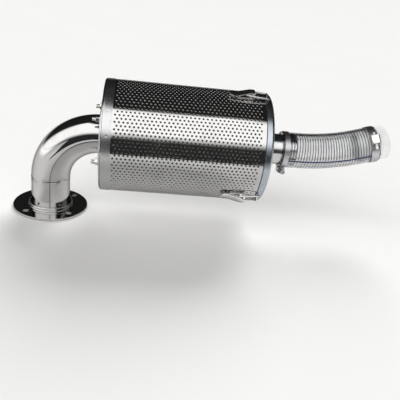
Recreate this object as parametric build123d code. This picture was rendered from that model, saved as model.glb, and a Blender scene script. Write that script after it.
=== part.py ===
from build123d import *
import math
import os

os.makedirs("parts", exist_ok=True)

# Dust collector that bolts on the air outlet of a hopper dryer. Lengths are in millimetres.
# Frame: origin at the centre of the inlet flange's lower face, +Z up,
# +X along the drum towards the lid.

# Fits
SEAT_GAP = 0.1
RUN_GAP = 0.08

# Inlet flange, pipe and elbow
FLANGE_OD = 122.0
FLANGE_THICK = 4.0
FLANGE_EDGE = 0.8
FLANGE_HOLE_INSET = 12.0
FLANGE_HOLE_D = 9.0
FLANGE_HOLE_COUNT = 4
COLLAR_WALL = 4.0
COLLAR_RISE = 6.0
COLLAR_EDGE = 1.5
PIPE_OD = 63.0
PIPE_WALL = 1.2
PIPE_SETBACK = 1.0
PIPE_STRAIGHT = 51.0
BEND_RADIUS = 80.0

# Elbow plate and its bolts
PLATE_OD = 124.0
PLATE_THICK = 3.0
PLATE_EDGE = 0.6
BOLT_INSET = 12.0
BOLT_COUNT = 4
BOLT_D = 6.0
BOLT_HOLE_PLAY = 0.3
BOLT_PROJECTION = 12.0
BOLT_HEAD_FLATS = 10.0
BOLT_HEAD_HEIGHT = 4.0
NUT_HEIGHT = 5.0
WASHER_OD = 13.0
WASHER_THICK = 1.2

# Drum
DRUM_OD = 180.0
DRUM_LENGTH = 248.0
SHEET = 1.0
CAP_RIM = 2.5
CAP_CORNER = 2.0
CAP_SKIRT = 13.0
SLEEVE_THICK = 2.5
SLEEVE_PLAY = 0.5

# Lid
LID_PROUD = 0.6
LID_DEPTH = 11.7
LID_CORNER = 4.5
LID_GUIDE = 8.0
LID_GUIDE_PLAY = 0.3
GASKET_THICK = 1.2
GASKET_WIDTH = 1.3
STUB_OD = 51.0
STUB_WALL = 1.5
STUB_LENGTH = 56.0

# Hose and plug
HOSE_OD = 60.0
HOSE_ON_STUB = 24.0
HOSE_AFTER_STUB = 4.0
HOSE_BEND_LENGTH = 104.0
HOSE_BEND_DEG = 16.5
HOSE_ON_PLUG = 34.0
PLUG_WALL = 3.0
PLUG_HEAD_OD = 57.0
PLUG_HEAD = 18.0
PLUG_EDGE = 4.0

# Hose clamps
BAND_THICK = 0.8
STUB_BAND_WIDTH = 9.0
PLUG_BAND_WIDTH = 12.7
BAND_SETBACK = 2.0
HOUSING_LENGTH = 15.0
HOUSING_HEIGHT = 9.5
HOUSING_LIP = 1.0
HOUSING_ROUND = 3.0
SCREW_D = 6.5
SCREW_LENGTH = 24.0
SCREW_HEAD_D = 9.0
SCREW_HEAD = 5.0
STUB_CLAMP_TURN = -80.0
PLUG_CLAMP_TURN = 33.0

# Latches, with heights above the drum's sheet and distances along it
LATCH_COUNT = 3
LATCH_FIRST_TURN = 78.0
LATCH_SHEET = 1.2
PIVOT_BACK = 18.5
PIVOT_HEIGHT = 6.5
PIN_D = 3.0
PIN_HEAD_D = 5.0
PIN_HEAD = 0.5
PIN_FIT = 0.02
EAR_ROUND = 2.2
EAR_FOOT = 8.8
BASE_WIDTH = 10.0
BASE_LENGTH = 27.0
BASE_NOSE = 3.0
RIVET_SHARES = (0.45, 0.8)
LEVER_LENGTH = 39.0
LEVER_HANDLE_WIDTH = 17.0
LEVER_NOSE = 1.5
LEVER_RISE = 4.0
LEVER_PLAY = 0.3
LEVER_CREST_SHARE = 0.14
LEVER_CHEEK_SHARE = 0.44
LEVER_DIP_SHARE = 0.68
LEVER_DIP = 3.6
LEVER_TIP = 5.0
LEVER_BEND = 8.0
BAIL_ARM = 8.0
BAIL_WIRE = 2.5
BAIL_WIDTH = 17.5
BAIL_BEND = 1.9
KEEPER_WIDTH = 9.0
KEEPER_FOOT = 6.0
KEEPER_HEIGHT = 8.0
KEEPER_PLAY = 0.3
KEEPER_INSET = 0.4
BAR_HEIGHT = 4.2

# Places derived from the sizes
PIPE_R = PIPE_OD / 2
PIPE_BORE_R = PIPE_R - PIPE_WALL
SEAM_Z = FLANGE_THICK + PIPE_STRAIGHT
AXIS_Z = SEAM_Z + BEND_RADIUS
FLANGE_HOLE_CIRCLE = FLANGE_OD - 2 * FLANGE_HOLE_INSET
BOLT_CIRCLE = PLATE_OD - 2 * BOLT_INSET
PLATE_X = BEND_RADIUS
CAP_X = PLATE_X + PLATE_THICK
SHELL_X = CAP_X + CAP_RIM
SHELL_END_X = SHELL_X + DRUM_LENGTH
LID_X = SHELL_END_X + GASKET_THICK
LID_FACE_X = LID_X + LID_DEPTH
LID_INSIDE_X = LID_FACE_X - SHEET
STUB_END_X = LID_FACE_X + STUB_LENGTH
HOSE_X = STUB_END_X - HOSE_ON_STUB
HOSE_BEND_X = STUB_END_X + HOSE_AFTER_STUB
DRUM_R = DRUM_OD / 2
SHELL_BORE_R = DRUM_R - SHEET
SKIRT_R = SHELL_BORE_R - SEAT_GAP
SLEEVE_R = SKIRT_R - SHEET - SLEEVE_PLAY
LID_R = DRUM_R + LID_PROUD
GUIDE_R = SHELL_BORE_R - LID_GUIDE_PLAY
STUB_R = STUB_OD / 2
HOSE_R = HOSE_OD / 2
HOSE_BORE_R = STUB_R + SEAT_GAP
HOSE_BEND_R = HOSE_BEND_LENGTH / math.radians(HOSE_BEND_DEG)
HOSE_RISE = HOSE_BEND_R * (1 - math.cos(math.radians(HOSE_BEND_DEG)))
HOSE_RUN = HOSE_BEND_R * math.sin(math.radians(HOSE_BEND_DEG))
BAND_R = HOSE_R + SEAT_GAP
SIDE_IN = BASE_WIDTH / 2 + LEVER_PLAY
SIDE_OUT = SIDE_IN + LATCH_SHEET
WEB_TOP = PIVOT_HEIGHT + LEVER_RISE
WEB_MIDDLE = WEB_TOP - LATCH_SHEET / 2
LEVER_CREST = LEVER_LENGTH * LEVER_CREST_SHARE
LEVER_CHEEK = LEVER_LENGTH * LEVER_CHEEK_SHARE
LEVER_DIP_BACK = LEVER_LENGTH * LEVER_DIP_SHARE
KEEPER_ALONG = PIVOT_BACK + GASKET_THICK + KEEPER_INSET
BAR_ALONG = KEEPER_ALONG + LATCH_SHEET + KEEPER_PLAY + BAIL_WIRE / 2


def tube(outer, inner, length):
    """A round tube from the origin along +Z."""
    return extrude(Circle(outer) - Circle(inner), length)


def rod(radius, length):
    """A round rod from the origin along +Z."""
    return extrude(Circle(radius), length)


def on_axis(x):
    """The place on the drum's axis whose +Z runs towards the lid."""
    return Pos(x, 0, AXIS_Z) * Rot(0, 90, 0)


def at_turn(x, turn):
    """A place on the drum's axis with +X pointing out at a turn above the front."""
    return on_axis(x) * Rot(0, 0, -(90 + turn))


def hose_end_place():
    """The place at the end of the hose whose +Z runs out of it."""
    bend = Pos(HOSE_BEND_X + HOSE_RUN, 0, AXIS_Z + HOSE_RISE) * Rot(0, 90 - HOSE_BEND_DEG, 0)
    return bend * Pos(0, 0, HOSE_ON_PLUG)


def ring_places(circle, count):
    """Places on a circle that starts half a step from +X."""
    step = 360 / count
    places = []
    for i in range(count):
        places.append(Rot(0, 0, step / 2 + i * step) * Pos(circle / 2, 0, 0))
    return places


def rim_edges(solid, height, radius):
    """The circles of one radius at one height of a solid turned about Z."""
    found = []
    for edge in solid.edges().filter_by(GeomType.CIRCLE):
        flat = abs(edge.center().Z - height) < SEAT_GAP / 2
        if flat and abs(edge.radius - radius) < SEAT_GAP / 2:
            found.append(edge)
    return found


def make_flange():
    """The inlet flange with its raised collar and bolt holes."""
    bore = PIPE_R + SEAT_GAP
    disc = extrude(Circle(FLANGE_OD / 2), FLANGE_THICK)
    disc = chamfer(rim_edges(disc, FLANGE_THICK, FLANGE_OD / 2), FLANGE_EDGE)
    collar = rod(bore + COLLAR_WALL, FLANGE_THICK + COLLAR_RISE)
    collar = fillet(rim_edges(collar, FLANGE_THICK + COLLAR_RISE, bore + COLLAR_WALL), COLLAR_EDGE)
    body = disc + collar - rod(bore, FLANGE_THICK + COLLAR_RISE)
    for place in ring_places(FLANGE_HOLE_CIRCLE, FLANGE_HOLE_COUNT):
        body -= place * rod(FLANGE_HOLE_D / 2, FLANGE_THICK)
    return body


def make_inlet_pipe():
    """The straight pipe from the flange to the elbow's seam."""
    return Pos(0, 0, PIPE_SETBACK) * tube(PIPE_R, PIPE_BORE_R, SEAM_Z - PIPE_SETBACK)


def make_elbow():
    """The quarter bend from the seam to the elbow plate."""
    section = Pos(0, 0, SEAM_Z) * (Circle(PIPE_R) - Circle(PIPE_BORE_R))
    return revolve(section, Axis((BEND_RADIUS, 0, SEAM_Z), (0, 1, 0)), 90)


def make_elbow_plate():
    """The ring plate at the elbow's end, with its bolt holes."""
    body = tube(PLATE_OD / 2, PIPE_BORE_R, PLATE_THICK)
    body = chamfer(rim_edges(body, 0, PLATE_OD / 2), PLATE_EDGE)
    for place in ring_places(BOLT_CIRCLE, BOLT_COUNT):
        body -= place * rod(BOLT_D / 2 + BOLT_HOLE_PLAY, PLATE_THICK)
    return on_axis(PLATE_X) * body


def make_bolts():
    """The bolts, with their heads inside the drum."""
    reach = BOLT_PROJECTION + PLATE_THICK + SHEET
    hexagon = RegularPolygon(BOLT_HEAD_FLATS / 2, 6, major_radius=False)
    bolt = rod(BOLT_D / 2, reach) + Pos(0, 0, reach) * extrude(hexagon, BOLT_HEAD_HEIGHT)
    solids = []
    for place in ring_places(BOLT_CIRCLE, BOLT_COUNT):
        solids.append(on_axis(PLATE_X - BOLT_PROJECTION) * place * bolt)
    return Compound(solids)


def make_nuts():
    """The nuts with their washers outside the elbow plate."""
    height = NUT_HEIGHT + WASHER_THICK
    nut = extrude(RegularPolygon(BOLT_HEAD_FLATS / 2, 6, major_radius=False), height)
    nut += Pos(0, 0, NUT_HEIGHT) * rod(WASHER_OD / 2, WASHER_THICK)
    nut -= rod(BOLT_D / 2 + SEAT_GAP, height)
    solids = []
    for place in ring_places(BOLT_CIRCLE, BOLT_COUNT):
        solids.append(on_axis(PLATE_X - height) * place * nut)
    return Compound(solids)


def make_end_cap():
    """The fixed end cap with its rolled rim and the skirt inside the shell."""
    rim = rod(DRUM_R, CAP_RIM)
    rim = fillet(rim_edges(rim, 0, DRUM_R), CAP_CORNER)
    body = rim + rod(SKIRT_R, CAP_RIM + CAP_SKIRT)
    body -= Pos(0, 0, SHEET) * rod(SKIRT_R - SHEET, CAP_RIM + CAP_SKIRT)
    body -= rod(PIPE_BORE_R, SHEET)
    for place in ring_places(BOLT_CIRCLE, BOLT_COUNT):
        body -= place * rod(BOLT_D / 2 + BOLT_HOLE_PLAY, SHEET)
    return on_axis(CAP_X) * body


def make_shell():
    """The drum's sheet, without its many small air holes."""
    return on_axis(SHELL_X) * tube(DRUM_R, SHELL_BORE_R, DRUM_LENGTH)


def make_sleeve():
    """The filter cloth that lines the drum."""
    start = CAP_X + SHEET + SLEEVE_PLAY
    length = LID_INSIDE_X - SLEEVE_PLAY - start
    return on_axis(start) * tube(SLEEVE_R, SLEEVE_R - SLEEVE_THICK, length)


def make_lid():
    """The lid's pan with a guide ring that enters the shell."""
    pan = rod(LID_R, LID_DEPTH)
    pan = fillet(rim_edges(pan, LID_DEPTH, LID_R), LID_CORNER)
    hollow = rod(LID_R - SHEET, LID_DEPTH - SHEET)
    hollow = fillet(rim_edges(hollow, LID_DEPTH - SHEET, LID_R - SHEET), LID_CORNER - SHEET)
    reach = GASKET_THICK + LID_GUIDE
    guide = Pos(0, 0, -reach) * tube(GUIDE_R, GUIDE_R - SHEET, reach + LID_DEPTH - SHEET)
    body = pan - hollow + guide
    body -= rod(STUB_R + SEAT_GAP / 2, LID_DEPTH)
    return on_axis(LID_X) * body


def make_gasket():
    """The rubber ring between the shell's edge and the lid."""
    return on_axis(SHELL_END_X) * tube(DRUM_R, DRUM_R - GASKET_WIDTH, GASKET_THICK)


def make_stub():
    """The steel stub in the middle of the lid."""
    return on_axis(LID_INSIDE_X) * tube(STUB_R, STUB_R - STUB_WALL, STUB_END_X - LID_INSIDE_X)


def make_hose():
    """The clear hose, straight on the stub and on the plug with a bend between."""
    section = Circle(HOSE_R) - Circle(HOSE_BORE_R)
    first = on_axis(HOSE_X) * extrude(section, HOSE_BEND_X - HOSE_X)
    pivot = Axis((HOSE_BEND_X, 0, AXIS_Z + HOSE_BEND_R), (0, -1, 0))
    bend = revolve(on_axis(HOSE_BEND_X) * section, pivot, HOSE_BEND_DEG)
    last = hose_end_place() * Pos(0, 0, -HOSE_ON_PLUG) * extrude(section, HOSE_ON_PLUG)
    return first + bend + last


def make_plug():
    """The white plug that closes the hose."""
    radius = HOSE_BORE_R - SEAT_GAP
    head = rod(PLUG_HEAD_OD / 2, PLUG_HEAD)
    head = fillet(rim_edges(head, PLUG_HEAD, PLUG_HEAD_OD / 2), PLUG_EDGE)
    body = head + Pos(0, 0, -HOSE_ON_PLUG) * rod(radius, HOSE_ON_PLUG)
    body -= Pos(0, 0, -HOSE_ON_PLUG) * rod(radius - PLUG_WALL, HOSE_ON_PLUG + PLUG_HEAD - PLUG_WALL)
    return hose_end_place() * body


def make_band(place, width):
    """A clamp's band round the hose."""
    return place * tube(BAND_R + BAND_THICK, BAND_R, width)


def make_housing(place, width):
    """A clamp's worm housing on the band, facing +X."""
    seat = BAND_R + BAND_THICK + SEAT_GAP
    block_width = width + 2 * HOUSING_LIP
    box = Box(HOUSING_HEIGHT, HOUSING_LENGTH, block_width)
    box = fillet(box.edges().filter_by(Axis.Y).group_by(Axis.X)[-1], HOUSING_ROUND)
    block = Pos(seat + HOUSING_HEIGHT / 2, 0, width / 2) * box
    block -= Pos(0, 0, -block_width) * rod(seat + HOUSING_LIP / 2, 3 * block_width)
    bore = rod(SCREW_D / 2 + SEAT_GAP, 2 * HOUSING_LENGTH)
    block -= screw_place(width) * Pos(0, 0, -HOUSING_LENGTH) * bore
    return place * block


def screw_place(width):
    """The middle of a clamp's screw, which runs along Y."""
    return Pos(BAND_R + BAND_THICK + HOUSING_HEIGHT / 2 + HOUSING_LIP / 2, 0, width / 2) * Rot(-90, 0, 0)


def make_screw(place, width, side):
    """A clamp's screw with its hexagon head on one side."""
    shank = Pos(0, 0, -SCREW_LENGTH / 2) * rod(SCREW_D / 2, SCREW_LENGTH)
    head = Pos(0, 0, SCREW_LENGTH / 2) * extrude(RegularPolygon(SCREW_HEAD_D / 2, 6), SCREW_HEAD)
    screw = shank + head
    if side < 0:
        screw = Rot(180, 0, 0) * screw
    return place * screw_place(width) * screw


def latch_point(along, height):
    """A point of a latch's side view, by its distance from the pivot and height above the sheet."""
    return (DRUM_R + height, along)


def latch_eye(along):
    """The round end of a latch's side view about a pin at the pivot's height."""
    return Pos(*latch_point(along, PIVOT_HEIGHT)) * Circle(EAR_ROUND)


def latch_slice(face, start, thick):
    """A plate of a side view between two distances from the latch's middle plane."""
    return Pos(0, start + thick, 0) * extrude(Plane.XZ * face, thick)


def cross_rod(along, height, radius, length):
    """A rod across the latch, centred on its middle plane."""
    return Pos(DRUM_R + height, -length / 2, along) * Rot(-90, 0, 0) * rod(radius, length)


def latch_turns():
    """The turn of each latch above the front."""
    return [LATCH_FIRST_TURN - i * 360 / LATCH_COUNT for i in range(LATCH_COUNT)]


def latch_place(turn):
    """The place of a latch, at its lever's pivot."""
    return at_turn(SHELL_END_X - PIVOT_BACK, turn)


def make_latch_base(turn):
    """A latch's base with its two ears and rivet heads."""
    floor = SEAT_GAP
    top = floor + LATCH_SHEET
    plate = Box(LATCH_SHEET, BASE_WIDTH, BASE_LENGTH)
    plate = fillet(plate.edges().filter_by(Axis.X), LATCH_SHEET)
    body = Pos(DRUM_R + floor + LATCH_SHEET / 2, 0, BASE_NOSE - BASE_LENGTH / 2) * plate
    foot = Line(latch_point(-EAR_FOOT, floor), latch_point(-EAR_ROUND, floor))
    ear = make_hull(foot.edges() + latch_eye(0).edges())
    for start in (-BASE_WIDTH / 2, BASE_WIDTH / 2 - LATCH_SHEET):
        body += latch_slice(ear, start, LATCH_SHEET)
    body -= cross_rod(0, PIVOT_HEIGHT, PIN_D / 2 + PIN_FIT, 2 * BASE_WIDTH)
    for share in RIVET_SHARES:
        along = BASE_NOSE - BASE_LENGTH * share
        body += Pos(DRUM_R + top, 0, along) * Rot(0, 90, 0) * rod(PIN_D / 2, PIN_HEAD)
    return latch_place(turn) * body


def make_latch_pin(turn):
    """A latch's pivot pin with its two heads."""
    reach = SIDE_OUT + SEAT_GAP
    body = cross_rod(0, PIVOT_HEIGHT, PIN_D / 2, 2 * reach)
    for start in (-reach - PIN_HEAD, reach):
        head = Pos(DRUM_R + PIVOT_HEIGHT, start, 0) * Rot(-90, 0, 0) * rod(PIN_HEAD_D / 2, PIN_HEAD)
        body += head
    return latch_place(turn) * body


def lever_line():
    """The middle line of the lever's strip seen from the side, from its nose to the curled tip."""
    return FilletPolyline(
        latch_point(LEVER_NOSE, WEB_MIDDLE),
        latch_point(-LEVER_CREST, WEB_MIDDLE),
        latch_point(-LEVER_DIP_BACK, LEVER_DIP),
        latch_point(-LEVER_LENGTH, LEVER_TIP),
        radius=LEVER_BEND,
    )


def lever_outline():
    """The lever's strip seen from above, which widens from its nose to the round tip."""
    nose = Line((-SIDE_OUT, LEVER_NOSE), (SIDE_OUT, LEVER_NOSE))
    half = LEVER_HANDLE_WIDTH / 2
    tip = Pos(0, half - LEVER_LENGTH) * Circle(half)
    return make_hull(nose.edges() + tip.edges())


def make_latch_lever(turn):
    """A latch's lever with its side cheeks and curled handle."""
    strip = latch_slice(trace(lever_line(), LATCH_SHEET), -LEVER_HANDLE_WIDTH / 2, LEVER_HANDLE_WIDTH)
    body = strip & (Pos(DRUM_R, 0, 0) * extrude(Plane.YZ * lever_outline(), 2 * WEB_TOP))
    slope = (WEB_MIDDLE - LEVER_DIP) / (LEVER_DIP_BACK - LEVER_CREST)
    cheek_end = latch_point(-LEVER_CHEEK, WEB_MIDDLE - slope * (LEVER_CHEEK - LEVER_CREST))
    crest = latch_point(-LEVER_CREST, WEB_MIDDLE)
    top = Polyline(latch_point(LEVER_NOSE, WEB_MIDDLE), crest, cheek_end)
    cheek = make_hull(top.edges() + latch_eye(0).edges() + latch_eye(-BAIL_ARM).edges())
    for start in (-SIDE_OUT, SIDE_IN):
        body += latch_slice(cheek, start, LATCH_SHEET)
    body -= cross_rod(0, PIVOT_HEIGHT, PIN_D / 2 + RUN_GAP, 2 * BASE_WIDTH)
    body -= cross_rod(-BAIL_ARM, PIVOT_HEIGHT, BAIL_WIRE / 2 + RUN_GAP, 2 * BASE_WIDTH)
    return latch_place(turn) * body


def make_latch_bail(turn):
    """A latch's wire bail from the lever round the keeper."""
    side = BAIL_WIDTH / 2
    near = DRUM_R + PIVOT_HEIGHT
    far = DRUM_R + BAR_HEIGHT
    path = FilletPolyline(
        (near, -SIDE_IN, -BAIL_ARM),
        (near, -side, -BAIL_ARM),
        (far, -side, BAR_ALONG),
        (far, side, BAR_ALONG),
        (near, side, -BAIL_ARM),
        (near, SIDE_IN, -BAIL_ARM),
        radius=BAIL_BEND,
    )
    section = Plane(origin=path @ 0, z_dir=path % 0) * Circle(BAIL_WIRE / 2)
    return latch_place(turn) * sweep(section, path)


def make_latch_keeper(turn):
    """A latch's keeper on the lid's rim, an angle that the bail's bar hooks behind."""
    floor = LID_PROUD + SEAT_GAP
    profile = Polyline(
        latch_point(KEEPER_ALONG, floor),
        latch_point(KEEPER_ALONG + KEEPER_FOOT, floor),
        latch_point(KEEPER_ALONG + KEEPER_FOOT, floor + LATCH_SHEET),
        latch_point(KEEPER_ALONG + LATCH_SHEET, floor + LATCH_SHEET),
        latch_point(KEEPER_ALONG + LATCH_SHEET, KEEPER_HEIGHT),
        latch_point(KEEPER_ALONG, KEEPER_HEIGHT),
        close=True,
    )
    return latch_place(turn) * latch_slice(make_face(profile), -KEEPER_WIDTH / 2, KEEPER_WIDTH)


STUB_CLAMP = at_turn(HOSE_X + BAND_SETBACK, STUB_CLAMP_TURN)
PLUG_BAND_BACK = BAND_SETBACK + PLUG_BAND_WIDTH
PLUG_CLAMP = hose_end_place() * Pos(0, 0, -PLUG_BAND_BACK) * Rot(0, 0, -(90 + PLUG_CLAMP_TURN))

nodes = {
    "inlet_flange": make_flange(),
    "inlet_pipe": make_inlet_pipe(),
    "elbow": make_elbow(),
    "elbow_plate": make_elbow_plate(),
    "plate_bolts": make_bolts(),
    "plate_nuts": make_nuts(),
    "end_cap": make_end_cap(),
    "drum_shell": make_shell(),
    "filter_sleeve": make_sleeve(),
    "lid": make_lid(),
    "lid_gasket": make_gasket(),
    "lid_stub": make_stub(),
    "dust_hose": make_hose(),
    "hose_plug": make_plug(),
    "stub_clamp_band": make_band(STUB_CLAMP, STUB_BAND_WIDTH),
    "stub_clamp_housing": make_housing(STUB_CLAMP, STUB_BAND_WIDTH),
    "stub_clamp_screw": make_screw(STUB_CLAMP, STUB_BAND_WIDTH, -1),
    "plug_clamp_band": make_band(PLUG_CLAMP, PLUG_BAND_WIDTH),
    "plug_clamp_housing": make_housing(PLUG_CLAMP, PLUG_BAND_WIDTH),
    "plug_clamp_screw": make_screw(PLUG_CLAMP, PLUG_BAND_WIDTH, 1),
}
for number, turn in enumerate(latch_turns(), start=1):
    nodes[f"latch_base_{number}"] = make_latch_base(turn)
    nodes[f"latch_pin_{number}"] = make_latch_pin(turn)
    nodes[f"latch_lever_{number}"] = make_latch_lever(turn)
    nodes[f"latch_bail_{number}"] = make_latch_bail(turn)
    nodes[f"latch_keeper_{number}"] = make_latch_keeper(turn)

for name, shape in nodes.items():
    export_step(shape, f"parts/{name}.step")
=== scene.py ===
"""Looks of a drum-shaped dust collector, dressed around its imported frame.

All lengths are metres in the frame's own axes: +Z up along the inlet pipe, +X along the drum
towards the lid, and the photographed side faces -Y. A turn is an angle about the drum's axis,
counted upwards from the front.
"""
import logging
import math
from dataclasses import dataclass, field, replace
from enum import Enum

import bpy
import numpy as np
from mathutils import Matrix, Vector
from numpy.typing import NDArray


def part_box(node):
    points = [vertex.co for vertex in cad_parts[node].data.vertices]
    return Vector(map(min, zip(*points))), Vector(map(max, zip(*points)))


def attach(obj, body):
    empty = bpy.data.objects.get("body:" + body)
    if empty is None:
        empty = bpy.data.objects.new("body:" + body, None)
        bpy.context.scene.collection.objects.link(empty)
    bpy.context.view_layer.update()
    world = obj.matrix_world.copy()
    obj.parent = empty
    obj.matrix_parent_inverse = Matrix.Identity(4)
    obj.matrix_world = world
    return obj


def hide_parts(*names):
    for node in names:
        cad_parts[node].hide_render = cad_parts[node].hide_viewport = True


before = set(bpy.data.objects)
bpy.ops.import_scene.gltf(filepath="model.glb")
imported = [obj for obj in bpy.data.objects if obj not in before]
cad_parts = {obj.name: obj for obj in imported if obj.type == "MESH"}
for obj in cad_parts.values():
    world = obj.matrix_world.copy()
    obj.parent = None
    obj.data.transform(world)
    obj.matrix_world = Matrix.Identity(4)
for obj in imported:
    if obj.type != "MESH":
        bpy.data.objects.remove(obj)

Array = NDArray[np.float64]
Indices = NDArray[np.int64]
LOG = logging.getLogger("dust_collector")
COLLECTOR = "collector"
MM = 0.001
FULL_TURN = 2.0 * math.pi
WELD_GRID = 2.0e-7
FINE_ROUND = 0.3 * MM
FRONT = np.array([0, -1.0, 0])
UP = np.array([0, 0, 1.0])
ALONG = np.array([1.0, 0, 0])
CORNER_TURNS = [math.pi / 4 + step * math.pi / 2 for step in range(4)]
BEAD_SWELL = 0.12
SEAM_ROUGH = 0.25
# Where the painted reflection lies round a tube, how far it reaches from there, and its colour: a dark stripe
# painted beside the long seam, standing in for a dark figure mirrored in the tube's front.
LONG_SEAM_AT = 0.5
SEAM_PAINTED_REFLECTION_REACH = (0.012, 0.034)
SEAM_PAINTED_REFLECTION = (0.10, 0.10, 0.11, 1.0)
SOFT_DEPTH = 4.0 * MM
SOFT_RADIUS = (1.0, 1.0, 0.9)
MERGE_REACH = 0.01 * MM
SHARP_EDGE = math.radians(35.0)
LATCH_EDGES = {
    "base": 0.25 * MM, "pin": 0.15 * MM, "lever": 0.25 * MM, "bail": 0.05 * MM, "keeper": 0.25 * MM
}


class Slot(Enum):
    """Material slot names for the pieces."""

    POLISHED = "polished_steel"
    SATIN = "satin_steel"
    LATCH = "latch_steel"
    PLATED = "plated_steel"
    CLOTH = "filter_cloth"
    RUBBER = "black_rubber"
    HOSE = "clear_hose"
    PLASTIC = "white_plastic"


class Axis(Enum):
    """The axis that a round weld seam lies across."""

    NONE = ""
    X = "X"
    Z = "Z"


@dataclass(frozen=True)
class Extent:
    """The box of a CAD node at rest.

    Attributes:
        low: the lowest corner.
        high: the highest corner.
    """

    low: Array
    high: Array

    @classmethod
    def of(cls, node: str) -> "Extent":
        """The extent of one CAD node."""
        low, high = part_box(node)
        return cls(np.array(low), np.array(high))

    @property
    def centre(self) -> Array:
        """The middle of the box."""
        return (self.low + self.high) / 2

    @property
    def size(self) -> Array:
        """The box's sides."""
        return self.high - self.low


@dataclass(frozen=True)
class Place:
    """A local frame: points are given across, up and along it.

    Attributes:
        origin: where the local frame starts.
        across: the direction of the first local axis.
        up: the direction of the second local axis.
        along: the direction of the third local axis, which turned shapes go round.
    """

    origin: Array
    across: Array
    up: Array
    along: Array

    def directions(self, local: Array) -> Array:
        """Local directions given in the frame's axes."""
        return local @ np.stack([self.across, self.up, self.along])

    def points(self, local: Array) -> Array:
        """Local points given in the frame's axes."""
        return self.origin + self.directions(local)


@dataclass
class Skin:
    """A surface as points, their outward normals and the quads between them.

    Attributes:
        points: one row of x, y and z for each point.
        normals: one outward unit vector for each point.
        quads: four point numbers for each face.
        marks: two surface coordinates for each point, for patterns that follow the surface.
    """

    points: Array
    normals: Array
    quads: Indices
    marks: Array

    @classmethod
    def grid(cls, points: Array, normals: Array, closed: bool, marks: Array | None = None) -> "Skin":
        """A surface on a grid of points, each joined to the next in its row and in its column.

        Args:
            points: rows by columns by 3.
            normals: an outward vector for each of them, of any length.
            closed: whether the last column joins the first.
            marks: rows by columns by 2, or none for the row and column shares.

        Returns:
            The surface, with each quad turned to face along its normals.
        """
        rows, columns = points.shape[:2]
        if marks is None:
            shares = np.meshgrid(np.linspace(0, 1, rows), np.linspace(0, 1, columns), indexing="ij")
            marks = np.stack(shares, -1)
        row, column = np.meshgrid(
            np.arange(rows - 1), np.arange(columns if closed else columns - 1), indexing="ij"
        )
        after = (column + 1) % columns
        corners = [row * columns + column, row * columns + after]
        corners += [(row + 1) * columns + after, (row + 1) * columns + column]
        unit = normals / np.linalg.norm(normals, axis=-1, keepdims=True)
        quads = np.stack(corners, -1).reshape(-1, 4)
        return cls(points.reshape(-1, 3), unit.reshape(-1, 3), quads, marks.reshape(-1, 2)).facing_out()

    def facing_out(self) -> "Skin":
        """The same surface with the quads that look inwards turned round."""
        corner = self.points[self.quads]
        facing = np.cross(corner[:, 2] - corner[:, 0], corner[:, 3] - corner[:, 1])
        wrong = np.einsum("ij,ij->i", facing, self.normals[self.quads].sum(1)) < 0
        quads = np.where(wrong[:, None], self.quads[:, ::-1], self.quads)
        return Skin(self.points, self.normals, quads, self.marks)

    @classmethod
    def joined(cls, skins: list["Skin"]) -> "Skin":
        """Several surfaces as one."""
        starts = np.cumsum([0] + [len(skin.points) for skin in skins[:-1]])
        return cls(
            np.concatenate([skin.points for skin in skins]),
            np.concatenate([skin.normals for skin in skins]),
            np.concatenate([skin.quads + start for skin, start in zip(skins, starts)]),
            np.concatenate([skin.marks for skin in skins]),
        )

    def mesh(self, name: str) -> bpy.types.Mesh:
        """A mesh whose points are merged where they meet and whose corners keep their normals.

        Args:
            name: the mesh's name.

        Returns:
            The mesh, with a UV map of the surface coordinates.
        """
        cells, merged = np.unique(
            np.round(self.points / WELD_GRID).astype(np.int64), axis=0, return_inverse=True
        )
        corner = merged.reshape(-1)[self.quads]
        kept = corner != np.roll(corner, -1, axis=1)
        whole = kept.sum(1) >= 3
        corner, kept, quads = corner[whole], kept[whole], self.quads[whole]
        sizes = kept.sum(1)
        made = bpy.data.meshes.new(name)
        made.vertices.add(len(cells))
        made.vertices.foreach_set("co", (cells * WELD_GRID).astype(np.float32).ravel())
        made.loops.add(int(sizes.sum()))
        made.loops.foreach_set("vertex_index", corner[kept].astype(np.int32))
        made.polygons.add(len(sizes))
        made.polygons.foreach_set("loop_start", (np.cumsum(sizes) - sizes).astype(np.int32))
        made.polygons.foreach_set("use_smooth", np.ones(len(sizes), bool))
        surface = made.uv_layers.new(name="surface")
        surface.data.foreach_set("uv", self.marks[quads][kept].astype(np.float32).ravel())
        made.update(calc_edges=True)
        made.normals_split_custom_set(self.normals[quads][kept].tolist())
        made.validate()
        return made


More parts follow.
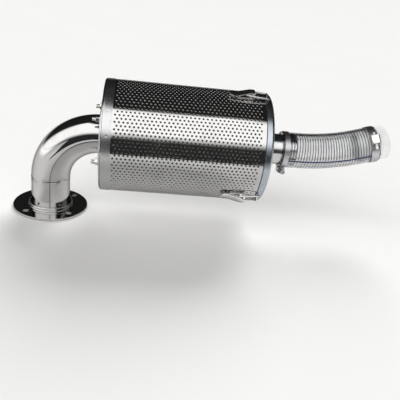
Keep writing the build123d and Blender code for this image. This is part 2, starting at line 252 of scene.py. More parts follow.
@dataclass(frozen=True)
class Profile:
    """A line in a plane through an axis, with the side that faces out on its left.

    Attributes:
        spots: rows of length along the axis and distance from it.
        outward: the outward direction at each spot, in the same two axes.
    """

    spots: Array
    outward: Array

    @classmethod
    def rounded(cls, corners: list[tuple[float, float]], radii: list[float], steps: int = 5) -> "Profile":
        """Straight runs between corners, each inner corner rounded by an arc of its own radius.

        An arc touches both its runs at radius times tan(half the turn) from the corner.

        Args:
            corners: length and distance of each corner, walked with the outside on the left.
            radii: a radius for each corner between the ends, zero for a sharp one.
            steps: how many pieces an arc has.

        Returns:
            The line with its exact outward directions.
        """
        knots = np.array(corners, float)
        ahead = np.diff(knots, axis=0)
        ahead /= np.linalg.norm(ahead, axis=1, keepdims=True)
        left = np.stack([-ahead[:, 1], ahead[:, 0]], 1)
        spots, outward = [knots[:1]], [left[:1]]
        for number, radius in enumerate(radii):
            before, after = ahead[number], ahead[number + 1]
            turn = math.atan2(before[0] * after[1] - before[1] * after[0], float(before @ after))
            angle = turn * np.linspace(0, 1, (steps if radius else 1) + 1)[:, None]
            aside = np.array([-left[number][1], left[number][0]])
            side = left[number] * np.cos(angle) + aside * np.sin(angle)
            centre = knots[number + 1] - before * radius * math.tan(abs(turn) / 2)
            centre = centre + math.copysign(radius, turn) * left[number]
            spots.append(centre - math.copysign(radius, turn) * side)
            outward.append(side)
        return cls(np.concatenate(spots + [knots[-1:]]), np.concatenate(outward + [left[-1:]]))

    def turned(self, place: Place, sides: int, marks: tuple[float, float] = (1.0, 1.0)) -> Skin:
        """The surface that the line makes when it goes once round a place's long axis.

        The spot at distance r and length z goes to r cos(a) across, r sin(a) up and z along.

        Args:
            place: the frame whose long axis it goes round.
            sides: how many steps one turn has.
            marks: how many pattern repeats one turn and the whole line have.

        Returns:
            The closed surface.
        """
        angle = np.linspace(0, FULL_TURN, sides + 1)
        ring = np.stack([np.cos(angle), np.sin(angle)], -1)

        def swung(pair: Array) -> Array:
            """Pairs of length and distance carried round the axis."""
            flat = pair[:, None, 1:] * ring[None]
            return np.concatenate([flat, np.broadcast_to(pair[:, None, :1], flat.shape[:2] + (1,))], -1)

        share = np.linspace(0, marks[1], len(self.spots))
        marked = np.stack(np.meshgrid(share, angle / FULL_TURN * marks[0], indexing="ij")[::-1], -1)
        points, normals = place.points(swung(self.spots)), place.directions(swung(self.outward))
        return Skin.grid(points, normals, False, marked)


def sheathed(line: Array, first: Array, second: Array, radius: Array, sides: int, closed_ends: bool) -> Skin:
    """A round tube along a line: the line's point plus the radius in every direction across it.

    Args:
        line: points of the middle line.
        first: a unit direction across the line at each point.
        second: the other direction across it.
        radius: the tube's radius at each point.
        sides: how many steps go round.
        closed_ends: whether each end gets a cap, drawn in to the line.

    Returns:
        The surface.
    """
    angle = np.linspace(0, FULL_TURN, sides + 1)[None, :, None]
    out = first[:, None] * np.cos(angle) + second[:, None] * np.sin(angle)
    wall = line[:, None] + out * radius[:, None, None]
    skins = [Skin.grid(wall, out, False)]
    if closed_ends:
        for end, beside in ((0, 1), (-1, -2)):
            away = line[end] - line[beside]
            cap = np.stack([wall[end], np.broadcast_to(line[end], wall[end].shape)])
            skins.append(Skin.grid(cap, np.broadcast_to(away, cap.shape), False))
    return Skin.joined(skins)


class Graph:
    """A node tree that is being built."""

    def __init__(self, tree: bpy.types.NodeTree) -> None:
        """Starts from an empty tree."""
        self.tree = tree
        tree.nodes.clear()

    def add(self, kind: str, inputs: dict | None = None, **settings: object) -> bpy.types.Node:
        """A node with its settings, and each input set to a value or linked to an output.

        Args:
            kind: the node's type name without its ShaderNode prefix.
            inputs: values or outputs by input name or number.
            settings: properties of the node itself.

        Returns:
            The node.
        """
        node = self.tree.nodes.new(kind if kind.startswith("NodeGroup") else "ShaderNode" + kind)
        for name, value in settings.items():
            setattr(node, name, value)
        for name, value in (inputs or {}).items():
            if isinstance(value, bpy.types.NodeSocket):
                self.tree.links.new(value, node.inputs[name])
            else:
                node.inputs[name].default_value = value
        return node

    def math(self, operation: str, first: object, second: object = 0.0) -> bpy.types.NodeSocket:
        """The result of one sum."""
        return self.add("Math", {0: first, 1: second}, operation=operation).outputs[0]

    def blend(self, share: object, low: object, high: object, how: str = "MIX") -> bpy.types.NodeSocket:
        """A colour between two."""
        mixed = self.add("Mix", {0: share, 6: low, 7: high}, data_type="RGBA", blend_type=how)
        return mixed.outputs[2]

    def step(
        self, value: object, low: float, high: float, start: object = 0.0, end: object = 1.0
    ) -> bpy.types.NodeSocket:
        """A smooth step from one value to another."""
        inputs = {"Value": value, "From Min": low, "From Max": high, "To Min": start, "To Max": end}
        return self.add("MapRange", inputs, interpolation_type="SMOOTHSTEP").outputs["Result"]

    def noise(
        self, place: object, scale: object, detail: float = 2.0, rough: float = 0.5
    ) -> bpy.types.NodeSocket:
        """A noise value at a place."""
        inputs = {"Vector": place, "Scale": scale, "Detail": detail, "Roughness": rough}
        return self.add("TexNoise", inputs).outputs["Fac"]


def new_group(
    name: str, inputs: dict[str, str], outputs: dict[str, str]
) -> tuple[bpy.types.NodeTree, Graph, bpy.types.Node]:
    """An empty shader node group with named sockets.

    Args:
        name: the group's name.
        inputs: socket kinds by input name.
        outputs: socket kinds by output name.

    Returns:
        The group, its graph and its input node.
    """
    tree = bpy.data.node_groups.new(name, "ShaderNodeTree")
    for sockets, way in ((inputs, "INPUT"), (outputs, "OUTPUT")):
        for label, kind in sockets.items():
            tree.interface.new_socket(name=label, in_out=way, socket_type="NodeSocket" + kind)
    graph = Graph(tree)
    return tree, graph, graph.add("NodeGroupInput")


def steel_wear_group() -> bpy.types.NodeTree:
    """Handling marks and slight waves of a polished sheet.

    Returns:
        A group that gives a marked colour, a roughness and a height in millimetres.
    """
    smear_scale, line_scale, speck_scale, wave_scale = 38.0, 1600.0, 900.0, 24.0
    line_stretch, speck_rough, smear_shade = (0.06, 1.0, 1.0), 0.06, 0.9
    tree, graph, given = new_group(
        "steel_wear",
        {"Colour": "Color", "Roughness": "Float", "Smudge": "Float", "Wave": "Float", "Grain": "Float"},
        {"Colour": "Color", "Roughness": "Float", "Height": "Float"},
    )
    place = graph.add("TexCoord").outputs["Object"]
    smear = graph.step(graph.noise(place, smear_scale, 5.0, 0.6), 0.45, 0.75)
    streak = graph.add("Mapping", {"Vector": place, "Scale": line_stretch})
    grain = graph.noise(streak.outputs["Vector"], line_scale)
    specks = graph.step(graph.noise(place, speck_scale, 1.0), 0.70, 0.78)
    dulled = graph.math("MULTIPLY", smear, given.outputs["Smudge"])
    rough = graph.math("ADD", given.outputs["Roughness"], dulled)
    rough = graph.math("ADD", rough, graph.math("MULTIPLY", specks, speck_rough))
    shade = graph.math("SUBTRACT", 1.0, graph.math("MULTIPLY", dulled, smear_shade))
    grey = graph.add("CombineColor", {0: shade, 1: shade, 2: shade}).outputs[0]
    colour = graph.blend(1.0, given.outputs["Colour"], grey, "MULTIPLY")
    waves = graph.math("MULTIPLY", graph.noise(place, wave_scale, 1.0), given.outputs["Wave"])
    height = graph.math("ADD", waves, graph.math("MULTIPLY", grain, given.outputs["Grain"]))
    graph.add("NodeGroupOutput", {"Colour": colour, "Roughness": rough, "Height": height})
    return tree


def heat_tint_group() -> bpy.types.NodeTree:
    """Straw, brown and blue tints beside a weld, fading with the distance from it.

    Returns:
        A group that takes a colour and a distance, and gives the tinted colour and a mask.
    """
    patch_scale = 55.0
    stops = [
        (0.0, (0.05, 0.05, 0.06)),
        (0.2, (0.16, 0.13, 0.12)),
        (0.5, (0.34, 0.30, 0.34)),
        (0.75, (0.62, 0.52, 0.38)),
    ]
    tree, graph, given = new_group(
        "heat_tint",
        {"Colour": "Color", "Distance": "Float", "Reach": "Float"},
        {"Colour": "Color", "Mask": "Float"},
    )
    place = graph.add("TexCoord").outputs["Object"]
    patch = graph.step(graph.noise(place, patch_scale, 3.0, 0.6), 0.42, 0.64)
    near = graph.math("DIVIDE", given.outputs["Distance"], given.outputs["Reach"])
    ramp = graph.add("ValToRGB", {"Fac": near})
    for number, (spot, colour) in enumerate(stops):
        stop = ramp.color_ramp.elements[number] if number < 2 else ramp.color_ramp.elements.new(spot)
        stop.position, stop.color = spot, (*colour, 1.0)
    fade = graph.step(near, 0.15, 1.0, 1.0, 0.0)
    mask = graph.math("MULTIPLY", fade, patch)
    tinted = graph.blend(mask, given.outputs["Colour"], ramp.outputs["Color"])
    graph.add("NodeGroupOutput", {"Colour": tinted, "Mask": mask})
    return tree


def fine_grain_group() -> bpy.types.NodeTree:
    """Fine mottling of plastic, rubber and cloth.

    Returns:
        A group that gives a mottled colour, a roughness and a height in millimetres.
    """
    broad_scale, broad_rough = 30.0, 0.12
    tree, graph, given = new_group(
        "fine_grain",
        {"Colour": "Color", "Dark": "Color", "Scale": "Float", "Roughness": "Float", "Depth": "Float"},
        {"Colour": "Color", "Roughness": "Float", "Height": "Float"},
    )
    place = graph.add("TexCoord").outputs["Object"]
    fine = graph.noise(place, given.outputs["Scale"], 3.0, 0.6)
    broad = graph.noise(place, broad_scale, 3.0)
    share = graph.step(graph.math("MULTIPLY", fine, broad), 0.12, 0.42)
    colour = graph.blend(share, given.outputs["Dark"], given.outputs["Colour"])
    rough = graph.math("ADD", given.outputs["Roughness"], graph.math("MULTIPLY", broad, broad_rough))
    height = graph.math("MULTIPLY", fine, given.outputs["Depth"])
    graph.add("NodeGroupOutput", {"Colour": colour, "Roughness": rough, "Height": height})
    return tree


STEEL_WEAR = steel_wear_group()
HEAT_TINT = heat_tint_group()
FINE_GRAIN = fine_grain_group()


def new_material(name: str) -> tuple[bpy.types.Material, Graph]:
    """An empty node material and its graph."""
    material = bpy.data.materials.new(name)
    material.use_nodes = True
    return material, Graph(material.node_tree)


def bumped(graph: Graph, height: bpy.types.NodeSocket) -> bpy.types.NodeSocket:
    """The normal of a height given in millimetres."""
    return graph.add("Bump", {"Height": height, "Distance": MM}).outputs["Normal"]


def shaded(material: bpy.types.Material, graph: Graph, inputs: dict) -> bpy.types.Material:
    """The material with a Principled shader of these inputs on its output."""
    shader = graph.add("BsdfPrincipled", inputs)
    graph.add("OutputMaterial", {"Surface": shader.outputs["BSDF"]})
    return material


@dataclass(frozen=True)
class SteelFinish:
    """Polished or satin steel with handling marks, and on welded tubes a painted reflection: a dark stripe
    beside the long seam.

    Attributes:
        name: the material's name.
        colour: the metal's reflected colour.
        roughness: roughness where the sheet is clean.
        smudge: how much a smudge dulls it.
        wave: height of the sheet's slow waves, in millimetres.
        grain: height of the polishing lines, in millimetres.
        edge: how bright the metal is at a grazing angle.
        seam_axis: the axis that a weld seam lies across, if there is one.
        seam_at: the seam's place on that axis.
        seam_reach: how far its heat tint goes.
        seam_painted_reflection: how dark the painted reflection is, a dark stripe painted beside a tube's
            long weld seam.
    """

    name: str
    colour: tuple[float, float, float] = (0.56, 0.555, 0.545)
    roughness: float = 0.05
    smudge: float = 0.10
    wave: float = 0.05
    grain: float = 0.0004
    edge: float = 0.35
    seam_axis: Axis = Axis.NONE
    seam_at: float = 0.0
    seam_reach: float = 6.0 * MM
    seam_painted_reflection: float = 0.0

    def material(self) -> bpy.types.Material:
        """The finish as a node material."""
        material, graph = new_material(self.name)
        values = {"Colour": (*self.colour, 1.0), "Roughness": self.roughness}
        values |= {"Smudge": self.smudge, "Wave": self.wave, "Grain": self.grain}
        wear = graph.add("Group", values, node_tree=STEEL_WEAR)
        colour, rough = wear.outputs["Colour"], wear.outputs["Roughness"]
        if self.seam_axis is not Axis.NONE:
            split = graph.add("SeparateXYZ", {0: graph.add("TexCoord").outputs["Object"]})
            across = split.outputs[self.seam_axis.value]
            away = graph.math("ABSOLUTE", graph.math("SUBTRACT", across, self.seam_at))
            near = {"Colour": colour, "Distance": away, "Reach": self.seam_reach}
            tint = graph.add("Group", near, node_tree=HEAT_TINT)
            colour = tint.outputs["Colour"]
            rough = graph.math("ADD", rough, graph.math("MULTIPLY", tint.outputs["Mask"], SEAM_ROUGH))
        # Painted reflection: darkens a stripe beside the long seam, standing in for a dark figure mirrored in
        # the front of the pipe and elbow.
        if self.seam_painted_reflection:
            surface = graph.add("UVMap", uv_map="surface").outputs["UV"]
            share = graph.add("SeparateXYZ", {0: surface}).outputs["Y"]
            beside = graph.math("ABSOLUTE", graph.math("SUBTRACT", share, LONG_SEAM_AT))
            dark = graph.math("MULTIPLY", graph.step(beside, *SEAM_PAINTED_REFLECTION_REACH, 1.0, 0.0), self.seam_painted_reflection)
            colour = graph.blend(dark, colour, SEAM_PAINTED_REFLECTION)
        inputs = {"Base Color": colour, "Metallic": 1.0, "Roughness": rough}
        inputs |= {"Specular Tint": (self.edge, self.edge, self.edge, 1.0)}
        inputs |= {"Normal": bumped(graph, wear.outputs["Height"])}
        return shaded(material, graph, inputs)


@dataclass(frozen=True)
class GrainFinish:
    """Plastic, rubber or felt with a fine mottled grain.

    Attributes:
        name: the material's name.
        colour: the main colour.
        dark: the colour in the grain's hollows.
        scale: grains in a metre.
        roughness: the lowest roughness.
        depth: the grain's height in millimetres.
        sheen: how much fuzz a cloth shows.
        soft: how much light goes under the surface.
    """

    name: str
    colour: tuple[float, float, float]
    dark: tuple[float, float, float]
    scale: float
    roughness: float
    depth: float
    sheen: float = 0.0
    soft: float = 0.0

    def material(self) -> bpy.types.Material:
        """The finish as a node material."""
        material, graph = new_material(self.name)
        values = {"Colour": (*self.colour, 1.0), "Dark": (*self.dark, 1.0), "Scale": self.scale}
        values |= {"Roughness": self.roughness, "Depth": self.depth}
        grain = graph.add("Group", values, node_tree=FINE_GRAIN)
        inputs = {"Base Color": grain.outputs["Colour"], "Roughness": grain.outputs["Roughness"]}
        inputs |= {"Normal": bumped(graph, grain.outputs["Height"]), "Sheen Weight": self.sheen}
        inputs |= {"Subsurface Weight": self.soft, "Subsurface Scale": SOFT_DEPTH}
        inputs |= {"Subsurface Radius": SOFT_RADIUS}
        return shaded(material, graph, inputs)


@dataclass(frozen=True)
class ClearFinish:
    """Clear flexible plastic with a slight haze.

    Attributes:
        name: the material's name.
        colour: the plastic's tint.
        roughness: the haze.
        index: the plastic's index of refraction.
    """

    name: str
    colour: tuple[float, float, float]
    roughness: float
    index: float

    def material(self) -> bpy.types.Material:
        """The finish as a node material."""
        material, graph = new_material(self.name)
        haze_scale, haze_spread, ripple_scale, ripple = 45.0, 0.12, 220.0, 0.05
        place = graph.add("TexCoord").outputs["Object"]
        haze = graph.noise(place, haze_scale, 4.0)
        rough = graph.step(haze, 0.35, 0.75, self.roughness, self.roughness + haze_spread)
        height = graph.math("MULTIPLY", graph.noise(place, ripple_scale, 1.0), ripple)
        inputs = {"Base Color": (*self.colour, 1.0), "Roughness": rough, "IOR": self.index}
        inputs |= {"Transmission Weight": 1.0, "Normal": bumped(graph, height)}
        return shaded(material, graph, inputs)


class Finishes:
    """Every material of the collector, each made once."""

    def __init__(self, seam_z: float, lid_face: float) -> None:
        """Makes the materials.

        Args:
            seam_z: height of the weld between pipe and elbow.
            lid_face: length at which the stub is welded in the lid.
        """
        self.mirror = SteelFinish("mirror_steel", wave=0.06).material()
        self.banded = SteelFinish("band_steel", (0.58, 0.58, 0.585), 0.26, 0.12, 0.10).material()
        # The welded steel carries the painted reflection beside a tube's long seam.
        self.welded = SteelFinish(
            "welded_steel", wave=0.10, seam_axis=Axis.Z, seam_at=seam_z, seam_reach=8.0 * MM, seam_painted_reflection=0.6
        ).material()
        self.satin = SteelFinish("satin_steel", (0.46, 0.50, 0.54), 0.24, 0.12, 0.04, 0.0012).material()
        self.stub = SteelFinish(
            "stub_steel", (0.63, 0.63, 0.63), 0.16, 0.12, 0.05, seam_axis=Axis.X, seam_at=lid_face
        ).material()
        self.latch = SteelFinish("latch_steel", (0.82, 0.81, 0.79), 0.10, 0.12, 0.02).material()
        self.bolt = SteelFinish("bolt_steel", (0.66, 0.65, 0.62), 0.16, 0.12, 0.02).material()
        self.plated = SteelFinish("plated_steel", (0.60, 0.59, 0.61), 0.36, 0.15, 0.02).material()
        self.wire = SteelFinish("spiral_wire", (0.14, 0.145, 0.19), 0.30, 0.05, 0.0).material()
        self.cloth = GrainFinish(
            "filter_cloth", (0.17, 0.155, 0.125), (0.08, 0.07, 0.055), 1500.0, 0.85, 0.25, sheen=0.3
        ).material()
        self.rubber = GrainFinish(
            "seal_rubber", (0.022, 0.022, 0.023), (0.012, 0.012, 0.012), 700.0, 0.5, 0.03
        ).material()
        self.plastic = GrainFinish(
            "white_plastic", (0.93, 0.93, 0.91), (0.88, 0.88, 0.86), 900.0, 0.28, 0.01, soft=0.7
        ).material()
        self.ink = GrainFinish(
            "blue_line", (0.012, 0.020, 0.11), (0.008, 0.014, 0.08), 600.0, 0.4, 0.01
        ).material()
        self.clear = ClearFinish("clear_hose", (0.94, 0.945, 0.95), 0.06, 1.45).material()


def put(name: str, skin: Skin, material: bpy.types.Material, slot: Slot, *replaced: str) -> bpy.types.Object:
    """A finished piece on the collector's fixed body.

    Args:
        name: the piece's name.
        skin: its surface.
        material: its finish.
        slot: the slot that the finish belongs to; not used.
        replaced: the CAD nodes that it stands for.

    Returns:
        The piece.
    """
    piece = bpy.data.objects.new(name, skin.mesh(name))
    bpy.context.scene.collection.objects.link(piece)
    piece.data.materials.append(material)
    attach(piece, COLLECTOR)
    if replaced:
        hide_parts(*replaced)
    LOG.info("%s: %d faces", name, len(piece.data.polygons))
    return piece


def dress(node: str, material: bpy.types.Material, edge: float) -> None:
    """A CAD node kept as it is, with softened edges and its finish.

    Args:
        node: the node's name.
        material: its finish.
        edge: width of the rounding along its edges.
    """
    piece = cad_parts[node]
    piece.data.materials.clear()
    piece.data.materials.append(material)
    piece.data.polygons.foreach_set("use_smooth", np.ones(len(piece.data.polygons), bool))
    piece.modifiers.new("merge", "WELD").merge_threshold = MERGE_REACH
    bevel = piece.modifiers.new("edges", "BEVEL")
    bevel.width, bevel.segments, bevel.limit_method = edge, 2, "ANGLE"
    bevel.angle_limit, bevel.harden_normals = SHARP_EDGE, True
    LOG.info("%s: CAD node, dressed", node)


def drum_place(length: float, axis_z: float) -> Place:
    """The place on the drum's axis at a length, turned upwards from the front."""
    return Place(np.array([length, 0, axis_z]), FRONT, UP, ALONG)


def around(up: Array, turn: Array) -> Array:
    """Directions across a line: the front times cos(turn) plus the up direction times sin(turn).

    Args:
        up: the upward direction across the line at each of its points.
        turn: turns from the front.

    Returns:
        A direction for each point and turn.
    """
    return FRONT * np.cos(turn)[None, :, None] + up[:, None] * np.sin(turn)[None, :, None]


def hump(value: Array, width: float) -> Array:
    """A smooth hump of height one: exp(-(value / width) squared)."""
    return np.exp(-((value / width) ** 2))


def grid_normals(points: Array, out: Array) -> Array:
    """Normals of a grid, the cross product of its two slopes, turned to the given side.

    Args:
        points: rows by columns by 3.
        out: a rough outward vector for each point.

    Returns:
        A normal for each point.
    """
    normal = np.cross(np.gradient(points, axis=0), np.gradient(points, axis=1))
    side = np.sign(np.einsum("ijk,ijk->ij", normal, out))
    return normal * np.where(side == 0, 1.0, side)[..., None]


def weld_bead(place: Place, ring: float, size: float, ripples: int) -> Skin:
    """A welded ring whose bead swells and thins as size * (1 + BEAD_SWELL * sin(ripples * turn)).

    Args:
        place: the frame whose long axis the bead goes round.
        ring: the ring's radius.
        size: the bead's mean radius.
        ripples: how many swells it has.

    Returns:
        The bead's surface.
    """
    turn = np.linspace(0, FULL_TURN, ripples * 8 + 1)
    out = np.stack([np.cos(turn), np.sin(turn), np.zeros_like(turn)], -1)
    swell = size * (1 + BEAD_SWELL * np.sin(ripples * turn))
    along = np.broadcast_to(place.along, out.shape)
    return sheathed(place.points(out * ring), place.directions(out), along, swell, 10, False)


@dataclass
class Inlet:
    """The inlet: flange, pipe, elbow and the bolted plate at the drum.

    Attributes:
        finishes: the materials.
        flange_radius: the flange's outer radius.
        flange_thick: the flange's thickness.
        rim_round: rounding of the flange's rim.
        hole_circle: radius of the bolt holes' circle.
        hole_radius: radius of a bolt hole.
        collar_radius: the collar's outer radius.
        collar_rise: the collar's height over the flange.
        pipe_radius: outer radius of pipe and elbow.
        wall: the pipe's wall.
        bend: the elbow's bend radius.
        ridge: height of the tube's long weld seam.
        ridge_width: half width of that seam.
        ridge_turn: the seam's turn from the front.
        bead: height of the round weld between pipe and elbow.
        bead_width: half width of that weld.
        seam_crowd: how closely the tube's points crowd beside its long seam.
        plate_bead: radius of the weld bead at the plate.
        plate_ripples: how many swells that bead has.
        collar_round: rounding of the collar's root and upper edge.
        bore_round: rounding of the collar's inner edge.
        bore_gap: gap between the collar and the pipe.
        bolt_circle: radius of the plate bolts' circle.
        thread_pitch: pitch of the bolts' thread.
        thread_root: the thread's smallest radius.
        thread_depth: the thread's height.
        thread_run: length over which the thread rises.
    """

    finishes: Finishes
    flange_radius: float = 61.0 * MM
    flange_thick: float = 4.0 * MM
    rim_round: float = 0.8 * MM
    hole_circle: float = 49.0 * MM
    hole_radius: float = 4.5 * MM
    collar_radius: float = 35.6 * MM
    collar_rise: float = 6.0 * MM
    pipe_radius: float = 31.5 * MM
    wall: float = 1.2 * MM
    bend: float = 80.0 * MM
    ridge: float = 0.22 * MM
    ridge_width: float = 0.9 * MM
    ridge_turn: float = math.radians(-6.0)
    bead: float = 0.30 * MM
    bead_width: float = 0.9 * MM
    seam_crowd: float = 3.4
    plate_bead: float = 1.4 * MM
    plate_ripples: int = 90
    collar_round: float = 1.5 * MM
    bore_round: float = 0.5 * MM
    bore_gap: float = 0.1 * MM
    bolt_circle: float = 50.0 * MM
    thread_pitch: float = 1.0 * MM
    thread_root: float = 3.06 * MM
    thread_depth: float = 0.35 * MM
    thread_run: float = 1.5 * MM
    upright: Place = field(init=False)
    seam_z: float = field(init=False)
    start_z: float = field(init=False)
    plate: Extent = field(init=False)

    def __post_init__(self) -> None:
        """Reads the inlet's places from the frame."""
        self.upright = Place(np.zeros(3), ALONG, np.array([0, 1.0, 0]), UP)
        pipe = Extent.of("inlet_pipe")
        self.start_z, self.seam_z = float(pipe.low[2]), float(pipe.high[2])
        self.plate = Extent.of("elbow_plate")

    def flange_face(self, height: float, inner: float, side: float) -> Skin:
        """A flat ring with bolt holes, in quarters that each run from a hole out to the quarter's edge.

        A point is hole + share * (edge - hole), for every share from 0 to 1 and every spot of the edge.

        Args:
            height: the face's height.
            inner: the ring's inner radius.
            side: 1 for a face that looks up, -1 for one that looks down.

        Returns:
            The face.
        """
        outer = self.flange_radius - self.rim_round
        arc = np.linspace(-math.pi / 4, math.pi / 4, 25)
        leg = np.linspace(outer, inner, 9)[1:-1]
        wide, narrow, side_on = np.full(len(arc), outer), np.full(len(arc), inner), np.ones(len(leg))
        radius = np.concatenate([wide, leg, narrow, leg[::-1], [outer]])
        turn = np.concatenate([arc, side_on * arc[-1], arc[::-1], side_on * arc[0], arc[:1]])
        edge = np.stack([radius * np.cos(turn), radius * np.sin(turn)], -1)
        hole = np.array([self.hole_circle, 0])
        away = edge - hole
        rim = hole + self.hole_radius * away / np.linalg.norm(away, axis=1, keepdims=True)
        share = np.linspace(0, 1, 4)[:, None, None]
        quarter = rim + share * (edge - rim)
        skins = []
        for angle in CORNER_TURNS:
            spin = np.array([[math.cos(angle), math.sin(angle)], [-math.sin(angle), math.cos(angle)]])
            flat = np.concatenate([quarter @ spin, np.full(quarter.shape[:2] + (1,), height)], -1)
            skins.append(Skin.grid(flat, np.broadcast_to([0, 0, side], flat.shape), False))
        return Skin.joined(skins)

    def flange(self) -> Skin:
        """The whole flange: two faces, rim, bolt holes and the collar with its bore."""
        top, bore = self.flange_thick, self.pipe_radius + self.bore_gap
        outer, shoulder = self.flange_radius, self.flange_radius - self.rim_round
        rim = Profile.rounded(
            [(0, shoulder), (0, outer), (top, outer), (top, shoulder)], [self.rim_round / 2, self.rim_round]
        )
        collar, collar_top = self.collar_radius, top + self.collar_rise
        foot = collar + self.collar_round
        sleeve = Profile.rounded(
            [(top, foot), (top, collar), (collar_top, collar), (collar_top, bore), (0, bore)],
            [self.collar_round, self.collar_round, self.bore_round],
        )
        skins = [rim.turned(self.upright, 160), sleeve.turned(self.upright, 128)]
        skins += [self.flange_face(top, foot, 1), self.flange_face(0, bore, -1)]
        wall = Profile.rounded([(top, self.hole_radius), (0, self.hole_radius)], [])
        for angle in CORNER_TURNS:
            spot = np.array([math.cos(angle), math.sin(angle), 0]) * self.hole_circle
            skins.append(wall.turned(replace(self.upright, origin=spot), 32))
        return Skin.joined(skins)

    def welded_tube(self, line: Array, up: Array, bead: Array) -> Skin:
        """A tube with one long weld seam and a round bead, as humps on its radius.

        The radius is pipe_radius + ridge * hump(arc from the seam) + bead(length).

        Args:
            line: points of the middle line.
            up: the direction at each point that lies in the bend's plane.
            bead: the bead's height at each point.

        Returns:
            The outside of the tube.
        """
        crowd = self.seam_crowd
        near = np.sinh(np.linspace(-crowd, crowd, 181)) / math.sinh(crowd) * math.pi
        out = around(up, near + self.ridge_turn)
        seam = self.ridge * hump(near * self.pipe_radius, self.ridge_width)
        radius = self.pipe_radius + seam[None] + bead[:, None]
        wall = line[:, None] + out * radius[..., None]
        return Skin.grid(wall, grid_normals(wall, out), False)

    def pipe(self) -> Skin:
        """The straight pipe with its bore, open at the bottom."""
        height = np.linspace(self.start_z, self.seam_z, 90)
        line = np.stack([0 * height, 0 * height, height], -1)
        up = np.broadcast_to([-1.0, 0, 0], line.shape)
        bore = self.pipe_radius - self.wall
        lip = Profile.rounded(
            [(self.seam_z, bore), (self.start_z, bore), (self.start_z, self.pipe_radius)], [FINE_ROUND]
        )
        outside = self.welded_tube(line, up, self.bead * hump(height - self.seam_z, self.bead_width))
        return Skin.joined([outside, lip.turned(self.upright, 96)])

    def elbow(self) -> Skin:
        """The quarter bend: its middle line is (b - b cos a, seam + b sin a) for a from 0 to 90 degrees."""
        angle = np.concatenate([np.linspace(0, 0.06, 14)[:-1], np.linspace(0.06, math.pi / 2, 110)])
        line = np.stack(
            [self.bend * (1 - np.cos(angle)), 0 * angle, self.seam_z + self.bend * np.sin(angle)], -1
        )
        up = np.stack([-np.cos(angle), 0 * angle, np.sin(angle)], -1)
        outside = self.welded_tube(line, up, self.bead * hump(angle * self.bend, self.bead_width))
        bore = np.full(len(angle), self.pipe_radius - self.wall)
        inside = sheathed(line, np.broadcast_to(FRONT, up.shape), up, bore, 72, False)
        turned = Skin(inside.points, -inside.normals, inside.quads[:, ::-1], inside.marks)
        return Skin.joined([outside, turned])

    def thread(self) -> Skin:
        """The bolts' threads: radius = root + depth * (1 - |2 f - 1|), f being the share of the pitch."""
        bolts = Extent.of("plate_bolts")
        length = np.arange(0, self.plate.low[0] - bolts.low[0], self.thread_pitch / 8)
        turn = np.linspace(0, FULL_TURN, 25)
        share = (length[:, None] / self.thread_pitch + turn[None] / FULL_TURN) % 1.0
        rise = np.clip(length / self.thread_run, 0, 1)[:, None]
        radius = self.thread_root + self.thread_depth * (1 - np.abs(2 * share - 1)) * rise
        out = np.stack([0 * turn, -np.cos(turn), np.sin(turn)], -1)
        middle = np.stack([bolts.low[0] + length, 0 * length, 0 * length], -1)
        wall = radius[..., None] * out[None] + middle[:, None]
        skins = []
        for angle in CORNER_TURNS:
            across, rise_z = self.bolt_circle * math.cos(angle), self.bolt_circle * math.sin(angle)
            placed = wall + np.array([0, across, self.plate.centre[2] + rise_z])
            facing = grid_normals(placed, np.broadcast_to(out[None], wall.shape))
            skins.append(Skin.grid(placed, facing, False))
        return Skin.joined(skins)

    def build(self) -> None:
        """Builds and dresses the inlet."""
        looks = self.finishes
        put("flange", self.flange(), looks.mirror, Slot.POLISHED, "inlet_flange")
        put("inlet_tube", self.pipe(), looks.welded, Slot.POLISHED, "inlet_pipe")
        put("elbow_tube", self.elbow(), looks.welded, Slot.POLISHED, "elbow")
        joint = drum_place(float(self.plate.low[0]), float(self.plate.centre[2]))
        bead = weld_bead(joint, self.pipe_radius, self.plate_bead, self.plate_ripples)
        put("plate_weld", bead, looks.welded, Slot.POLISHED)
        put("bolt_threads", self.thread(), looks.bolt, Slot.PLATED)
        dress("elbow_plate", looks.mirror, 0.3 * MM)
        dress("plate_bolts", looks.bolt, 0.4 * MM)
        dress("plate_nuts", looks.bolt, 0.4 * MM)


